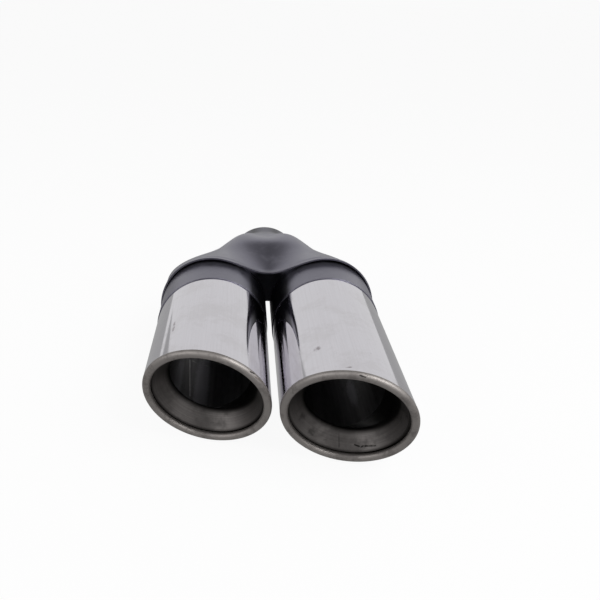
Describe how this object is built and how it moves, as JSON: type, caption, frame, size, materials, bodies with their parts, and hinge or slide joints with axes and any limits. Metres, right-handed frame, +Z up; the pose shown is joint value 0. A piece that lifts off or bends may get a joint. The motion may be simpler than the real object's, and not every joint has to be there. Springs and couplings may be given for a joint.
{
  "type": "twin outlet exhaust y-pipe",
  "caption": "Exhaust Y-pipe: a round inlet feeds a pressed collector that splits into parallel slash-cut tail pipes with rolled rims.",
  "frame": {"origin": "centre of the round inlet's mouth, on the inlet's axis", "axes": "+Y out of the inlet, away from the outlets; the outlets face -Y; +X to the longer tube; +Z up"},
  "size_m": [0.1596, 0.28, 0.0819],
  "materials": {
    "polished_steel": "polished stainless steel with fine scratches",
    "satin_steel": "satin, slightly warm grey",
    "liner_steel": "dull grey steel with dirt",
    "heat_dark_steel": "dark heat-stained steel",
    "black_paint": "dark grey-black semi-gloss paint"
  },
  "bodies": {
    "root": {"left_sleeve": "polished_steel", "right_sleeve": "polished_steel", "left_rim": "satin_steel", "right_rim": "satin_steel", "left_liner": "liner_steel", "right_liner": "liner_steel", "left_inner_pipe": "heat_dark_steel", "right_inner_pipe": "heat_dark_steel", "left_spacer_ring": "heat_dark_steel", "right_spacer_ring": "heat_dark_steel", "left_collar": "black_paint", "right_collar": "black_paint", "crotch_plate": "black_paint", "upper_shell": "black_paint", "lower_shell": "black_paint", "inlet_pipe": "black_paint"}
  },
  "joints": []
}
